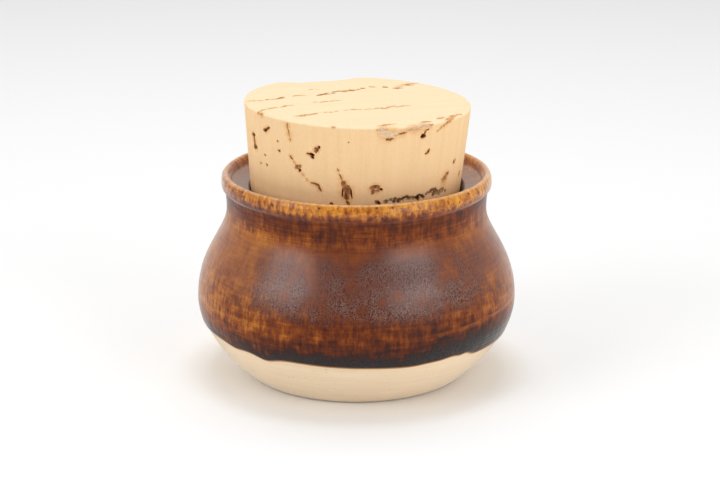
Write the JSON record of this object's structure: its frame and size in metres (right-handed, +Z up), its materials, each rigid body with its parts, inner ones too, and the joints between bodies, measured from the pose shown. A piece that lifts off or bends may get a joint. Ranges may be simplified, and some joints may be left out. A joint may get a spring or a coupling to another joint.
{
  "type": "glazed corked jar",
  "caption": "Small squat round-bellied stoneware jar, brown glaze over a bare clay foot, rolled lip, shut with a tapered natural cork.",
  "frame": {"origin": "middle of the flat foot, on the surface the jar stands on", "axes": "+Z up along the jar's turning axis, +X to the right as the glaze's low side and the cork's lean show, -Y toward the front"},
  "size_m": [0.0722, 0.0722, 0.0629],
  "materials": {
    "jar": "glossy streaked brown glaze with an amber lip, bare buff clay below its edge",
    "cork": "dry sanded natural cork with pores and cracks"
  },
  "bodies": {
    "root": {"jar": "jar", "cork": "cork"}
  },
  "joints": []
}
